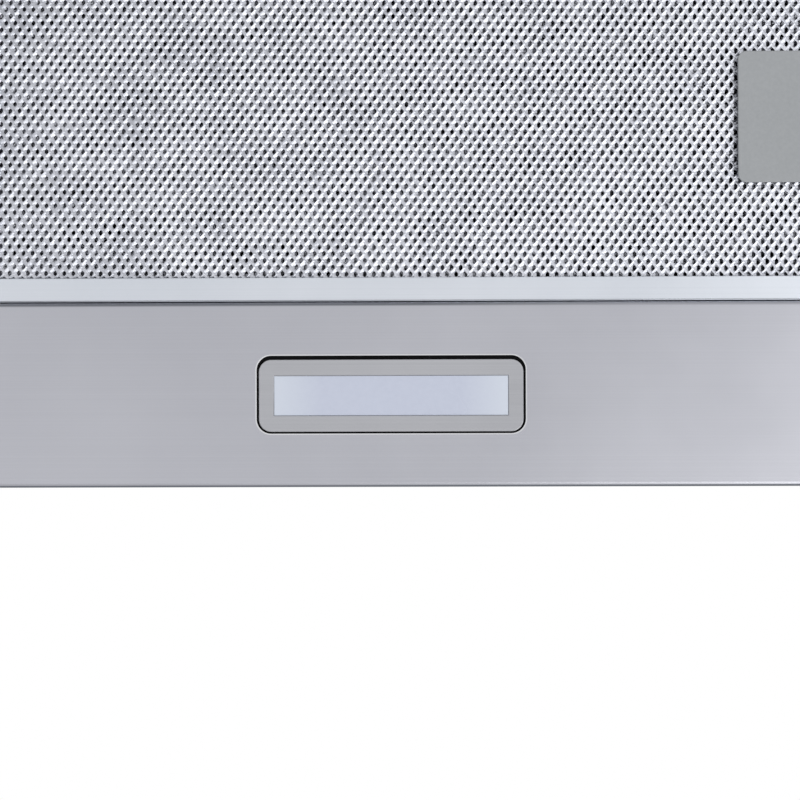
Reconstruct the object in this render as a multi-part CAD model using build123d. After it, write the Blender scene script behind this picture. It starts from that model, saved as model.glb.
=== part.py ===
from build123d import *
import math
import os

# Telescopic range hood for a 60 cm wall cabinet, seen as it hangs: +Z is up,
# -Y is the front that faces the cook, +X is to the right from the front.
# The origin lies under the middle of the hood, in the plane of its underside.

# Overall size, in millimetres
hood_width = 598.0
hood_depth = 290.0
chassis_height = 44.0
hood_height = 200.0
motor_box_side_margin = 51.0
motor_box_depth = 235.0
motor_box_setback = 3.0

# Sheet metal
body_sheet = 0.8
panel_sheet = 0.7
arm_sheet = 1.0
bend_radius = 1.2
joint_gap = 0.1
seam_gap = 0.6
top_flange_overlap = 3.9

# Pull-out visor
fascia_depth = 20.0
fascia_lip_height = 9.5
visor_travel = 150.0
visor_top_z = 38.0
visor_flange_z = 11.3
visor_flange_width = 25.0
visor_top_flange_width = 17.0
visor_filter_depth = 170.0
visor_top_plate_rear_overlap = 5.0
crossbar_depth = 8.0
trip_tab_width = 12.0
trip_tab_height = 13.0
trip_tab_side_margin = 59.0

# Grease filter in the body, and the one in the visor
filter_side_margin = 24.4
filter_height = 8.2
filter_face_recess = 0.6
filter_lip = 7.45
filter_sheet = 0.8
mesh_sheet = 0.4
mesh_edge_inset = 2.0
front_rail_depth = 19.8
front_rail_height = 8.5
filter_rear_gap = 0.5
tab_end_offset = 94.6
tab_width = 20.0
tab_reach = 3.0
tab_thickness = 0.8
tab_slot_height = 5.2
tab_side_gap = 2.0
tab_lift = 0.2

# Latch of the body filter
latch_plate_width = 58.0
latch_plate_depth = 42.0
latch_plate_thickness = 1.0
latch_plate_corner = 2.7
latch_plate_setback = 37.25
latch_travel = 4.0
latch_bar_width = 12.0
latch_bar_height = 2.0
latch_bar_lift = 0.6
latch_knob_length = 7.0
latch_knob_width = 11.0
latch_knob_start = 14.0
latch_spring_length = 10.0
latch_spring_legs = 4
latch_spring_wire = 0.5
latch_guide_wall = 1.2
latch_side_gap = 0.3
latch_tongue_gap = 0.4

# Lamp strip across the rear, with its two lamps
lamp_panel_depth = 59.2
lamp_panel_lip_height = 8.5
lamp_spacing = 280.0
lamp_setback = 29.6
lamp_cutout_width = 86.0
lamp_cutout_depth = 24.9
lamp_cutout_corner = 4.6
bezel_width = 84.6
bezel_depth = 23.1
bezel_corner = 4.0
bezel_recess = 0.1
bezel_rear_shift = 0.35
lens_width = 74.8
lens_depth = 12.6
lens_recess = 0.3
lens_thickness = 2.2
bezel_sleeve_wall = 1.3
bezel_sleeve_height = 2.3
lamp_flange_margin = 3.0
lamp_flange_thickness = 1.3
lamp_housing_height = 15.3
lamp_housing_wall = 1.2
lamp_housing_inset = 3.5
led_board_thickness = 1.6
led_board_height = 6.0

# Roller slides
slide_thickness = 10.0
slide_height = 27.0
slide_middle_z = 22.5
slide_length = 240.0
slide_front_setback = 2.4
slide_web = 1.0
slide_flange = 1.4
slide_lip_gap = 1.8
roller_radius = 1.6
roller_length = 3.0
roller_gap = 0.15
roller_inset = 5.2
rollers_per_row = 2
cage_sheet = 0.5
cage_gap = 0.4
cage_end_margin = 10.0

# Buttons on the right of the fascia
control_end_offset = 99.0
control_middle_z = 22.0
button_count = 5
button_pitch = 19.0
button_width = 14.0
button_height = 9.0
button_depth = 5.5
button_bevel = 0.5
button_travel = 2.5
button_gap = 0.2
button_stem = 5.0
button_stem_length = 6.0
control_face_height = 15.0
control_end_margin = 5.0
control_corner = 2.0
control_flange = 3.0
control_flange_thickness = 1.5
control_face_recess = 0.2
switch_block_depth = 9.0
switch_block_height = 18.0
switch_socket_gap = 0.3

# Deck, its air opening and its screw holes for the cabinet floor
deck_flange_drop = 3.6
air_opening_side_margin = 48.0
air_opening_end_margin = 22.5
cabinet_hole_side_margin = 24.0
cabinet_hole_spacing_y = 120.0
cabinet_hole_setback = 95.0
cabinet_hole_radius = 2.6
box_flange_width = 12.0

# Fan: a double-inlet drum with forward-curved blades in a spiral scroll
scroll_front_gap = 1.9
fan_top_gap = 10.3
drum_length = 100.0
blade_count = 24
blade_chord = 11.0
blade_thickness = 1.0
blade_bulge = 1.9
blade_lean = 4.5
drum_disc = 1.5
drum_rim = 0.8
hub_radius = 10.0
hub_length = 20.0
scroll_start_angle = 65.0
scroll_tongue_gap = 4.0
scroll_spread = 1.75
scroll_wall = 1.5
scroll_side_gap = 5.0
scroll_floor_gap = 1.0
scroll_flange = 7.0
scroll_arcs = 5

# Motor
shaft_radius = 4.0
shaft_running_gap = 0.05
hub_gap = 0.02
motor_width = 72.0
motor_corner = 8.0
motor_length = 54.0
motor_step = 2.0
motor_offset = 5.0
stack_length = 28.0
bracket_sheet = 1.5
bracket_arm_width = 14.0
bracket_foot_gap = 1.0
bracket_hub_radius = 16.0

# Duct spigot and its pair of non-return flaps
spigot_diameter = 120.0
spigot_height = 50.0
spigot_wall = 2.0
spigot_flange_radius = 73.0
spigot_flange_thickness = 1.6
flap_ledge = 3.0
flap_bar_half_width = 2.6
flap_ear_half_depth = 7.0
flap_thickness = 1.0
flap_rest_gap = 0.3
flap_edge_gap = 0.8
flap_pin_radius = 1.2
flap_pin_gap = 0.07
flap_axis_lift = 1.7
flap_axis_offset = 4.6
flap_ear_width = 3.0
flap_ear_height = 4.2

# Electrical pieces
grommet_end_offset = 48.0
grommet_setback = 29.0
grommet_bore = 4.0
grommet_neck = 8.0
grommet_flange = 10.5
grommet_flange_thickness = 2.0
terminal_box_size = (70.0, 50.0, 30.0)
terminal_box_wall = 2.0
driver_size = (100.0, 24.0, 36.0)
driver_lift = 20.0
driver_end_offset = 98.0
driver_bevel = 2.0
capacitor_size = (46.0, 24.0, 34.0)
capacitor_end_offset = 103.0
capacitor_lift = 40.0
switch_body_size = (22.0, 10.0, 10.0)
switch_body_z = 24.0
switch_clear = 2.4
switch_lever_drop = 2.0

# Places worked out from the sizes above
half_width = hood_width / 2
filter_width = hood_width - filter_side_margin * 2
front_y = -hood_depth / 2
rear_y = hood_depth / 2
wall_x = half_width - body_sheet
chassis_front_y = front_y + fascia_depth + seam_gap
deck_z = chassis_height - body_sheet
filter_front_y = chassis_front_y + front_rail_depth + seam_gap
lamp_panel_y = rear_y - lamp_panel_depth
filter_rear_y = lamp_panel_y - filter_rear_gap
filter_bottom_z = filter_face_recess
side_flange_x = filter_width / 2 + seam_gap
lamp_y = rear_y - lamp_setback
arm_outer_x = wall_x - slide_thickness
top_flange_x = arm_outer_x - top_flange_overlap
arm_inner_x = arm_outer_x - arm_sheet
visor_filter_front_y = chassis_front_y + joint_gap * 2
visor_filter_rear_y = visor_filter_front_y + visor_filter_depth
visor_filter_z = visor_flange_z + arm_sheet + joint_gap
slide_front_y = chassis_front_y + slide_front_setback
slide_rear_y = slide_front_y + slide_length
box_rear_y = rear_y - motor_box_setback
box_front_y = box_rear_y - motor_box_depth
box_half_width = half_width - motor_box_side_margin
box_top_z = hood_height - body_sheet
tab_offset = filter_width / 2 - tab_end_offset
control_middle_x = half_width - control_end_offset
trip_tab_x = -half_width + trip_tab_side_margin
cabinet_hole_x = half_width - cabinet_hole_side_margin
cabinet_hole_middle_y = rear_y - cabinet_hole_setback
grommet_x = -box_half_width + grommet_end_offset
driver_x = -box_half_width + driver_end_offset
driver_z = chassis_height + driver_lift
capacitor_x = -box_half_width + capacitor_end_offset
capacitor_z = chassis_height + capacitor_lift
roller_x = arm_outer_x + roller_inset


def block(x, y, z):
    """A box between three pairs of coordinates."""
    middle = Pos((x[0] + x[1]) / 2, (y[0] + y[1]) / 2, (z[0] + z[1]) / 2)
    return middle * Box(x[1] - x[0], y[1] - y[0], z[1] - z[0])


def along_x(outline, x0, x1):
    """An outline drawn in Y and Z, run from x0 to x1."""
    return extrude(Plane.YZ.offset(x0) * outline, amount=x1 - x0)


def along_y(outline, y0, y1):
    """An outline drawn in X and Z, run from y0 to y1."""
    return extrude(Plane.XZ.offset(-y1) * outline, amount=y1 - y0)


def along_z(outline, z0, z1):
    """An outline drawn in X and Y, run from z0 to z1."""
    return extrude(Plane.XY.offset(z0) * outline, amount=z1 - z0)


def rod_x(y, z, radius, x0, x1):
    """A round bar along X."""
    return along_x(Pos(y, z) * Circle(radius), x0, x1)


def rod_y(x, z, radius, y0, y1):
    """A round bar along Y."""
    return along_y(Pos(x, z) * Circle(radius), y0, y1)


def rod_z(x, y, radius, z0, z1):
    """A round bar along Z."""
    return along_z(Pos(x, y) * Circle(radius), z0, z1)


def folded(points, thickness):
    """The section of a sheet bent at each of its corners, given at mid-thickness."""
    return trace(FilletPolyline(*points, radius=bend_radius), line_width=thickness)


def rounded(x, y, width, depth, corner):
    """A rectangle with round corners."""
    return Pos(x, y) * RectangleRounded(width, depth, corner)


def other_side(shape):
    """The same piece on the left of the hood."""
    return mirror(shape, about=Plane.YZ)


def joined(shapes):
    """Several solids kept apart in one node."""
    return Compound(children=[s for shape in shapes for s in shape.solids()])


# Chassis


def side_panel():
    """The right side wall, with a flange beside the filter and one under the deck."""
    half = body_sheet / 2
    top = deck_z - half
    section = folded(
        [(side_flange_x, half), (half_width - half, half), (half_width - half, top), (top_flange_x, top)],
        body_sheet,
    )
    wall = along_y(section, chassis_front_y, rear_y)
    inside_x = (side_flange_x - seam_gap, wall_x)
    low = (-body_sheet, bend_radius + body_sheet)
    wall -= block(inside_x, (chassis_front_y - 1, filter_front_y - seam_gap + joint_gap), low)
    wall -= block(inside_x, (lamp_panel_y - joint_gap, rear_y + 1), low)
    wall -= block((top_flange_x - 1, wall_x), (rear_y - panel_sheet - joint_gap, rear_y + 1), (0, deck_z))
    return wall


def lamp_panel():
    """The strip that holds the lamps, folded up at the filter and up again as the rear wall."""
    half = panel_sheet / 2
    section = folded(
        [
            (lamp_panel_y + half, lamp_panel_lip_height),
            (lamp_panel_y + half, half),
            (rear_y - half, half),
            (rear_y - half, deck_z),
        ],
        panel_sheet,
    )
    panel = along_x(section, -wall_x + joint_gap, wall_x - joint_gap)
    for x in (-lamp_spacing / 2, lamp_spacing / 2):
        cutout = rounded(x, lamp_y, lamp_cutout_width, lamp_cutout_depth, lamp_cutout_corner)
        panel -= along_z(cutout, -1, panel_sheet + 1)
    bar_z = latch_bar_bottom()
    half_slot = latch_bar_width / 2 + latch_side_gap
    keeper_z = (bar_z - latch_side_gap, bar_z + latch_bar_height + latch_side_gap)
    panel -= block((-half_slot, half_slot), (lamp_panel_y - 1, lamp_panel_y + panel_sheet + 1), keeper_z)
    return panel


def front_rail():
    """The cross-member at the front, whose rear wall has slots for the filter's tabs."""
    half = body_sheet / 2
    rear = chassis_front_y + front_rail_depth - half
    section = folded(
        [
            (chassis_front_y + half, front_rail_height),
            (chassis_front_y + half, half),
            (rear, half),
            (rear, front_rail_height),
        ],
        body_sheet,
    )
    rail = along_x(section, -wall_x + joint_gap, wall_x - joint_gap)
    half_slot = tab_width / 2 + tab_side_gap
    for x in (-tab_offset, tab_offset):
        rail -= block(
            (x - half_slot, x + half_slot),
            (rear - half - bend_radius, rear + half + 1),
            (body_sheet, body_sheet + tab_slot_height),
        )
    return rail


def deck_plate():
    """The top of the chassis, with the air opening under the fan."""
    half = body_sheet / 2
    section = folded(
        [
            (chassis_front_y + half, chassis_height - deck_flange_drop),
            (chassis_front_y + half, chassis_height - half),
            (rear_y, chassis_height - half),
        ],
        body_sheet,
    )
    deck = along_x(section, -half_width, half_width)
    for x in ((-half_width - 1, -top_flange_x + seam_gap), (top_flange_x - seam_gap, half_width + 1)):
        deck -= block(x, (chassis_front_y - 1, rear_y + 1), (0, deck_z))
    through = (deck_z - 1, chassis_height + 1)
    width = (box_half_width - air_opening_side_margin) * 2
    opening = Pos(0, air_opening_y()) * Rectangle(width, motor_box_depth - air_opening_end_margin * 2)
    deck -= along_z(opening, *through)
    for x in (-cabinet_hole_x, cabinet_hole_x):
        for y in (-cabinet_hole_spacing_y / 2, cabinet_hole_spacing_y / 2):
            deck -= rod_z(x, cabinet_hole_middle_y + y, cabinet_hole_radius, *through)
    return deck


def air_opening_y():
    """The middle of the air opening lies under the middle of the motor box."""
    return (box_front_y + box_rear_y) / 2


# Motor box on top of the chassis


def motor_box_wrap():
    """Front, top and rear of the motor box, bent from one sheet."""
    half = body_sheet / 2
    section = folded(
        [
            (box_front_y + half, chassis_height),
            (box_front_y + half, hood_height - half),
            (box_rear_y - half, hood_height - half),
            (box_rear_y - half, chassis_height),
        ],
        body_sheet,
    )
    wrap = along_x(section, -box_half_width + body_sheet, box_half_width - body_sheet)
    through = (box_top_z - 1, hood_height + 1)
    wrap -= rod_z(0, outlet_y(), spigot_diameter / 2 - spigot_wall - flap_ledge, *through)
    wrap -= grommet_slab(grommet_neck, *through)
    return wrap


def motor_box_end():
    """The right end of the motor box, with a flange that lies on the deck."""
    half = body_sheet / 2
    section = folded(
        [
            (box_half_width + box_flange_width, chassis_height + half),
            (box_half_width - half, chassis_height + half),
            (box_half_width - half, hood_height),
        ],
        body_sheet,
    )
    return along_y(section, box_front_y, box_rear_y)


# Fan scroll, drum and motor


def scroll_turned(angle):
    """The share of the spiral passed at an angle, in degrees round the shaft from the rear, over the top."""
    return (angle - scroll_start_angle) / (360 - scroll_start_angle)


def drum_radius():
    """The largest drum whose spiral fits between the deck and the top of the box."""
    lowest = scroll_turned(270)
    room = box_top_z - chassis_height - scroll_floor_gap - scroll_wall - fan_top_gap
    return (room - scroll_tongue_gap * (1 - lowest)) / (2 + (scroll_spread - 1) * lowest)


def scroll_radius(angle):
    """The spiral's radius, which grows evenly from the tongue to the outlet."""
    start = drum_radius() + scroll_tongue_gap
    end = drum_radius() * scroll_spread
    return start + (end - start) * scroll_turned(angle)


def scroll_inlet_radius():
    """The inlets leave the blades covered."""
    return drum_radius() - blade_chord


def fan_axis_y():
    """The shaft's place, with the spiral just behind the front wall of the box."""
    return box_front_y + body_sheet + scroll_front_gap + scroll_wall + scroll_radius(180)


def fan_axis_z():
    """The shaft's height, with the spiral's lowest point just above the deck."""
    return chassis_height + scroll_floor_gap + scroll_wall + scroll_radius(270)


def scroll_point(angle):
    """A point of the spiral, as Y and Z."""
    radius = scroll_radius(angle)
    turn = math.radians(angle)
    return (fan_axis_y() + radius * math.cos(turn), fan_axis_z() + radius * math.sin(turn))


def outlet_y():
    """The middle of the scroll's outlet, where the duct spigot stands."""
    return (scroll_point(scroll_start_angle)[0] + scroll_point(360)[0]) / 2


def scroll_outline():
    """The air space of the scroll: a spiral that opens into a straight outlet."""
    step = (360 - scroll_start_angle) / scroll_arcs
    arcs = []
    for index in range(scroll_arcs):
        start = scroll_start_angle + index * step
        arcs.append(
            ThreePointArc(scroll_point(start), scroll_point(start + step / 2), scroll_point(start + step))
        )
    tongue = scroll_point(scroll_start_angle)
    end = scroll_point(360)
    outlet = Polyline(end, (end[0], box_top_z), (tongue[0], box_top_z), tongue)
    return make_face(Curve() + arcs + outlet)


def scroll_reach():
    """Half the width of the scroll's air space."""
    return drum_length / 2 + scroll_side_gap


def scroll_wrap():
    """The spiral wall of the fan's housing, bent from one strip, between its two sides."""
    inner = scroll_outline()
    outer = offset(inner, amount=scroll_wall, kind=Kind.INTERSECTION)
    x = (-scroll_reach(), scroll_reach())
    strip = along_x(outer, *x) - along_x(inner, x[0] - 1, x[1] + 1)
    return strip & block(x, (box_front_y, box_rear_y), (chassis_height, box_top_z))


def scroll_side():
    """The right side of the fan's housing, with its inlet and a flange under the box's top."""
    half = scroll_wall / 2
    x = scroll_reach() + half
    top = box_top_z - half
    section = folded([(x, chassis_height + joint_gap), (x, top), (x + scroll_flange, top)], scroll_wall)
    low_y = scroll_point(180)[0] - scroll_wall
    high_y = scroll_point(360)[0] + scroll_wall
    side = along_y(section, low_y, high_y)
    return side - rod_x(fan_axis_y(), fan_axis_z(), scroll_inlet_radius(), x - scroll_wall, x + scroll_wall)


def drum():
    """The fan drum: a disc on a hub, two rows of bent blades and a ring at either end."""
    half = drum_length / 2
    tip = drum_radius()
    inner = tip - blade_chord
    outer = tip - drum_rim
    solid = rod_x(0, 0, tip, -drum_disc / 2, drum_disc / 2)
    solid += rod_x(0, 0, hub_radius, -hub_length / 2, hub_length / 2)
    bend = Polyline((inner, 0), ((inner + outer) / 2, blade_bulge), (outer, blade_lean))
    blade = along_x(trace(bend, line_width=blade_thickness), -half + drum_rim, half - drum_rim)
    solid = solid + [Rot(360 / blade_count * index, 0, 0) * blade for index in range(blade_count)]
    ring = Circle(tip) - Circle(inner - drum_rim)
    solid += along_x(ring, -half, -half + drum_disc)
    solid += along_x(ring, half - drum_disc, half)
    solid -= rod_x(0, 0, shaft_radius + hub_gap, -hub_length, hub_length)
    return Pos(0, fan_axis_y(), fan_axis_z()) * solid


def motor_start_x():
    """The motor's inner face, against the bracket on the right of the scroll."""
    return scroll_reach() + scroll_wall + motor_offset + bracket_sheet


def bracket_angles():
    """The three arms of the motor bracket, in degrees round the shaft."""
    return [90, 210, 330]


def motor_bracket():
    """A three-armed bracket that carries the motor across the right inlet."""
    x1 = motor_start_x()
    x0 = x1 - bracket_sheet
    side = scroll_reach() + scroll_wall
    half = bracket_arm_width / 2
    reach = scroll_inlet_radius() + bracket_foot_gap + half
    plate = RegularPolygon(bracket_hub_radius, len(bracket_angles()) * 2, major_radius=False)
    for angle in bracket_angles():
        plate += Rot(0, 0, angle) * Pos((reach + half) / 2, 0) * Rectangle(
            reach + half, bracket_arm_width
        )
    plate -= Circle(shaft_radius + bracket_sheet)
    bracket = along_x(plate, x0, x1)
    for angle in bracket_angles():
        foot = along_x(Pos(reach, 0) * Rectangle(bracket_arm_width, bracket_arm_width), side, x0)
        bracket += Rot(angle, 0, 0) * foot
    return Pos(0, fan_axis_y(), fan_axis_z()) * bracket


def motor_outline(width):
    """A square with cut corners, the outline of the motor's stack and shields."""
    return chamfer(Rectangle(width, width).vertices(), motor_corner)


def motor_shield(inner_side):
    """One end of the motor, pressed from sheet, with a bush for the shaft."""
    depth = (motor_length - stack_length) / 2
    x0 = motor_start_x() if inner_side else motor_start_x() + motor_length - depth
    shield = along_x(motor_outline(motor_width - motor_step * 2), 0, depth)
    shield -= rod_x(0, 0, shaft_radius + shaft_running_gap, -1, depth + 1)
    return Pos(x0, fan_axis_y(), fan_axis_z()) * shield


def motor_stack():
    """The square stack of laminations between the shields."""
    x0 = motor_start_x() + (motor_length - stack_length) / 2
    stack = along_x(motor_outline(motor_width), 0, stack_length)
    stack -= rod_x(0, 0, shaft_radius + shaft_running_gap * 2, -1, stack_length + 1)
    return Pos(x0, fan_axis_y(), fan_axis_z()) * stack


def motor_shaft():
    """The shaft that runs in both shields and carries the drum."""
    end = motor_start_x() + motor_length - motor_step
    return rod_x(fan_axis_y(), fan_axis_z(), shaft_radius, -hub_length / 2, end)


# Duct spigot and flaps


def flap_axis_z():
    """The height of both flap hinges."""
    return hood_height + flap_axis_lift


def duct_spigot():
    """The round spigot with its flange."""
    y = outlet_y()
    outer = spigot_diameter / 2
    top = hood_height + spigot_height
    floor = hood_height + spigot_flange_thickness
    spigot = rod_z(0, y, spigot_flange_radius, hood_height, floor) + rod_z(0, y, outer, hood_height, top)
    return spigot - rod_z(0, y, outer - spigot_wall, hood_height - 1, top + 1)


def flap_bar():
    """The bar across the spigot between the flaps, with ears at its ends for their pins."""
    y = outlet_y()
    half = flap_ear_x() + flap_ear_width
    ear_y = (y - flap_ear_half_depth, y + flap_ear_half_depth)
    bar = block((-half, half), (y - flap_bar_half_width, y + flap_bar_half_width), (hood_height, flap_bar_top()))
    bar_z = (hood_height, hood_height + flap_ear_height)
    reach = flap_pin_radius + flap_pin_gap
    for x in ((-half, -flap_ear_x()), (flap_ear_x(), half)):
        bar += block(x, ear_y, bar_z)
    for turn in (-1, 1):
        hole_y = y + turn * flap_axis_offset
        hole_z = (flap_axis_z() - reach, flap_axis_z() + reach)
        bar -= block((-half - 1, half + 1), (hole_y - reach, hole_y + reach), hole_z)
    return bar


def flap_bar_top():
    """The bar ends level with the flaps at rest."""
    return hood_height + flap_rest_gap + flap_thickness


def flap_ear_x():
    """The inner face of the right ear, with its outer face clear of the tube's round wall."""
    outer = spigot_diameter / 2 - spigot_wall - joint_gap
    return math.sqrt(outer ** 2 - flap_ear_half_depth ** 2) - flap_ear_width


def flap(side):
    """One half-round flap; side is -1 for the front one and 1 for the rear one."""
    y = outlet_y()
    axis_y = y + side * flap_axis_offset
    inner = spigot_diameter / 2 - spigot_wall
    end_x = flap_ear_x() - flap_pin_gap * 6
    pin_end = flap_ear_x() + flap_ear_width
    bottom = hood_height + flap_rest_gap
    disc = rod_z(0, y, inner - flap_edge_gap, bottom, bottom + flap_thickness)
    reach = (axis_y, axis_y + side * spigot_diameter)
    plate = disc & block((-end_x, end_x), (min(reach), max(reach)), (bottom, bottom + flap_thickness))
    pin = rod_x(axis_y, flap_axis_z(), flap_pin_radius, -pin_end, pin_end)
    return plate + pin


# Lamps


def lamp_bezel(x):
    """The frame round one lens, set in the cutout, with a sleeve that holds the lens."""
    y = lamp_y + bezel_rear_shift
    face = along_z(rounded(x, y, bezel_width, bezel_depth, bezel_corner), bezel_recess, panel_sheet)
    outer_w = lens_width + joint_gap * 2 + bezel_sleeve_wall * 2
    outer_d = lens_depth + joint_gap * 2 + bezel_sleeve_wall * 2
    sleeve = along_z(
        Pos(x, y) * Rectangle(outer_w, outer_d), bezel_recess, panel_sheet + bezel_sleeve_height
    )
    window = Pos(x, y) * Rectangle(lens_width + joint_gap * 2, lens_depth + joint_gap * 2)
    return face + sleeve - along_z(window, -1, panel_sheet + bezel_sleeve_height + 1)


def lamp_lens(x):
    """The milky lens of one lamp."""
    y = lamp_y + bezel_rear_shift
    z0 = bezel_recess + lens_recess
    return along_z(Pos(x, y) * Rectangle(lens_width, lens_depth), z0, z0 + lens_thickness)


def lamp_housing(x):
    """The housing behind one lamp: a flange on the panel and a box over the board."""
    y = lamp_y + bezel_rear_shift
    z0 = panel_sheet
    z1 = z0 + lamp_flange_thickness
    z2 = z0 + lamp_housing_height
    wall = lamp_housing_wall
    flange_w = lamp_cutout_width + lamp_flange_margin * 2
    flange_d = lamp_cutout_depth + lamp_flange_margin * 2
    box_w = bezel_width - lamp_housing_inset
    box_d = bezel_depth - lamp_housing_inset / 2
    housing = along_z(Pos(x, y) * Rectangle(flange_w, flange_d), z0, z1)
    housing += along_z(Pos(x, y) * Rectangle(box_w, box_d), z0, z2)
    cavity = Pos(x, y) * Rectangle(box_w - wall * 2, box_d - wall * 2)
    housing -= along_z(cavity, z0 + bezel_sleeve_height + joint_gap, z2 - wall)
    sleeve_w = lens_width + joint_gap * 4 + bezel_sleeve_wall * 2
    sleeve_d = lens_depth + joint_gap * 4 + bezel_sleeve_wall * 2
    window = Pos(x, y) * Rectangle(sleeve_w, sleeve_d)
    return housing - along_z(window, -1, z0 + bezel_sleeve_height + joint_gap * 2)


def led_board(x):
    """The board with its light sources, across the housing."""
    y = lamp_y + bezel_rear_shift
    wall = lamp_housing_wall + joint_gap
    width = bezel_width - lamp_housing_inset - wall * 2
    depth = bezel_depth - lamp_housing_inset / 2 - wall * 2
    z0 = panel_sheet + led_board_height
    return along_z(Pos(x, y) * Rectangle(width, depth), z0, z0 + led_board_thickness)


# Filters


def filter_rails(half_wide, y0, y1, z0):
    """Four mitred channels round a mesh pad: front, rear, left and right."""
    half = filter_sheet / 2
    low = z0 + half
    high = z0 + filter_height - half
    middle_y = (y0 + y1) / 2
    half_deep = (y1 - y0) / 2

    def channel(outside, turn):
        lip_end = turn * (outside - filter_lip)
        wall = turn * (outside - half)
        path = Polyline((lip_end, high), (wall, high), (wall, low), (lip_end, low))
        return trace(path, line_width=filter_sheet)

    def mitre(turn, across):
        """A trapezoid that trims a rail's ends at 45 degrees, in X and Y."""
        inner = filter_lip + 1
        if across:
            corners = [
                (-half_wide, turn * half_deep),
                (half_wide, turn * half_deep),
                (half_wide - inner, turn * (half_deep - inner)),
                (-half_wide + inner, turn * (half_deep - inner)),
            ]
        else:
            corners = [
                (turn * half_wide, -half_deep),
                (turn * half_wide, half_deep),
                (turn * (half_wide - inner), half_deep - inner),
                (turn * (half_wide - inner), -half_deep + inner),
            ]
        return Pos(0, middle_y, 0) * along_z(make_face(Polyline(*corners, close=True)), z0 - 1, high + 1)

    rails = []
    for turn in (-1, 1):
        rail = along_x(channel(half_deep, turn), -half_wide, half_wide)
        rails.append((Pos(0, middle_y, 0) * rail) & mitre(turn, True))
    for turn in (-1, 1):
        rail = along_y(channel(half_wide, turn), y0, y1)
        rails.append(rail & mitre(turn, False))
    return rails


def mesh_layers(half_wide, y0, y1, z0):
    """Three thin sheets of expanded mesh: under the lips, in the middle and over the lips."""
    low = z0 + filter_sheet
    high = z0 + filter_height - filter_sheet - mesh_sheet
    middle = (low + high) / 2
    layers = []
    for z, inset in ((low, mesh_edge_inset), (middle, filter_sheet + joint_gap), (high, mesh_edge_inset)):
        layers.append(
            block((-half_wide + inset, half_wide - inset), (y0 + inset, y1 - inset), (z, z + mesh_sheet))
        )
    return layers


def filter_frame():
    """The body filter's frame, with two tabs at the front and a slot for the latch at the rear."""
    front, rear, left, right = filter_rails(
        filter_width / 2, filter_front_y, filter_rear_y, filter_bottom_z
    )
    z0 = body_sheet + tab_lift
    for x in (-tab_offset, tab_offset):
        front += block(
            (x - tab_width / 2, x + tab_width / 2),
            (filter_front_y - tab_reach, filter_front_y + filter_sheet),
            (z0, z0 + tab_thickness),
        )
    half_slot = latch_bar_width / 2 + latch_side_gap
    bar_z = latch_bar_bottom()
    rear -= block(
        (-half_slot, half_slot),
        (filter_rear_y - filter_sheet - bend_radius, filter_rear_y + 1),
        (bar_z - latch_side_gap / 2, bar_z + latch_bar_height + latch_side_gap),
    )
    return joined([front, rear, left, right])


def latch_plate_span():
    """The front and rear edge of the latch plate."""
    rear = filter_rear_y - latch_plate_setback
    return (rear - latch_plate_depth, rear)


def latch_bar_bottom():
    """The height of the latch bar's underside, over the lowest mesh sheet."""
    return filter_bottom_z + filter_sheet + latch_bar_lift


def latch_guide_half():
    """Half the width over the guides beside the latch bar."""
    return latch_bar_width / 2 + latch_side_gap + latch_guide_wall


def filter_mesh():
    """The mesh pad of the body filter; the lowest sheet is open over the latch."""
    low, middle, high = mesh_layers(filter_width / 2, filter_front_y, filter_rear_y, filter_bottom_z)
    y0, y1 = latch_plate_span()
    half = latch_guide_half() + latch_side_gap
    low -= block((-half, half), (y0 + latch_guide_wall, y1 - latch_guide_wall), (0, filter_height))
    return joined([low, middle, high])


def latch_plate():
    """The plate round the latch's finger slot, with guides for the bar and a stop for its spring."""
    y0, y1 = latch_plate_span()
    top = filter_bottom_z + filter_sheet
    plate = along_z(
        rounded(0, (y0 + y1) / 2, latch_plate_width, latch_plate_depth, latch_plate_corner),
        top - latch_plate_thickness,
        top,
    )
    knob_y = y0 + latch_knob_start
    slot = rounded(
        0,
        knob_y + (latch_knob_length - latch_travel) / 2,
        latch_knob_width + latch_side_gap * 2,
        latch_knob_length + latch_travel + latch_side_gap * 2,
        latch_guide_wall,
    )
    plate -= along_z(slot, -1, top + 1)
    inner = latch_bar_width / 2 + latch_side_gap
    outer = latch_guide_half()
    guide_z = (top, latch_bar_bottom() + latch_bar_height)
    guide_y = (y0 + latch_guide_wall * 1.5, y1 - latch_guide_wall * 1.5)
    for side in (-1, 1):
        plate += block((min(side * inner, side * outer), max(side * inner, side * outer)), guide_y, guide_z)
    plate += block((-outer, outer), (guide_y[0], latch_spring_stop()), guide_z)
    return plate


def latch_bar_front():
    """The front end of the latch bar, just ahead of its knob."""
    return latch_plate_span()[0] + latch_knob_start - 1


def latch_spring_stop():
    """The rear face of the wall that the latch spring pushes against."""
    return latch_bar_front() - latch_spring_length


def latch_slider():
    """The finger knob and the bar that runs back to the tongue."""
    y0 = latch_plate_span()[0] + latch_knob_start
    bar_z = latch_bar_bottom()
    bar = block(
        (-latch_bar_width / 2, latch_bar_width / 2),
        (latch_bar_front(), lamp_panel_y - latch_tongue_gap),
        (bar_z, bar_z + latch_bar_height),
    )
    nose = bar.faces().sort_by(Axis.Y)[-1].edges().sort_by(Axis.Z)[-1]
    bar = chamfer(nose, latch_bar_height / 2)
    z0 = filter_bottom_z + filter_sheet - latch_plate_thickness
    knob = rounded(0, y0 + latch_knob_length / 2, latch_knob_width, latch_knob_length, latch_guide_wall)
    solid = bar + along_z(knob, z0, bar_z + latch_side_gap)
    for step in (1, 2, 3):
        y = y0 + latch_knob_length * step / 4
        groove = (y - latch_guide_wall / 4, y + latch_guide_wall / 4)
        solid -= block((-latch_knob_width, latch_knob_width), groove, (z0 - 1, z0 + latch_side_gap))
    return solid


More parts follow.
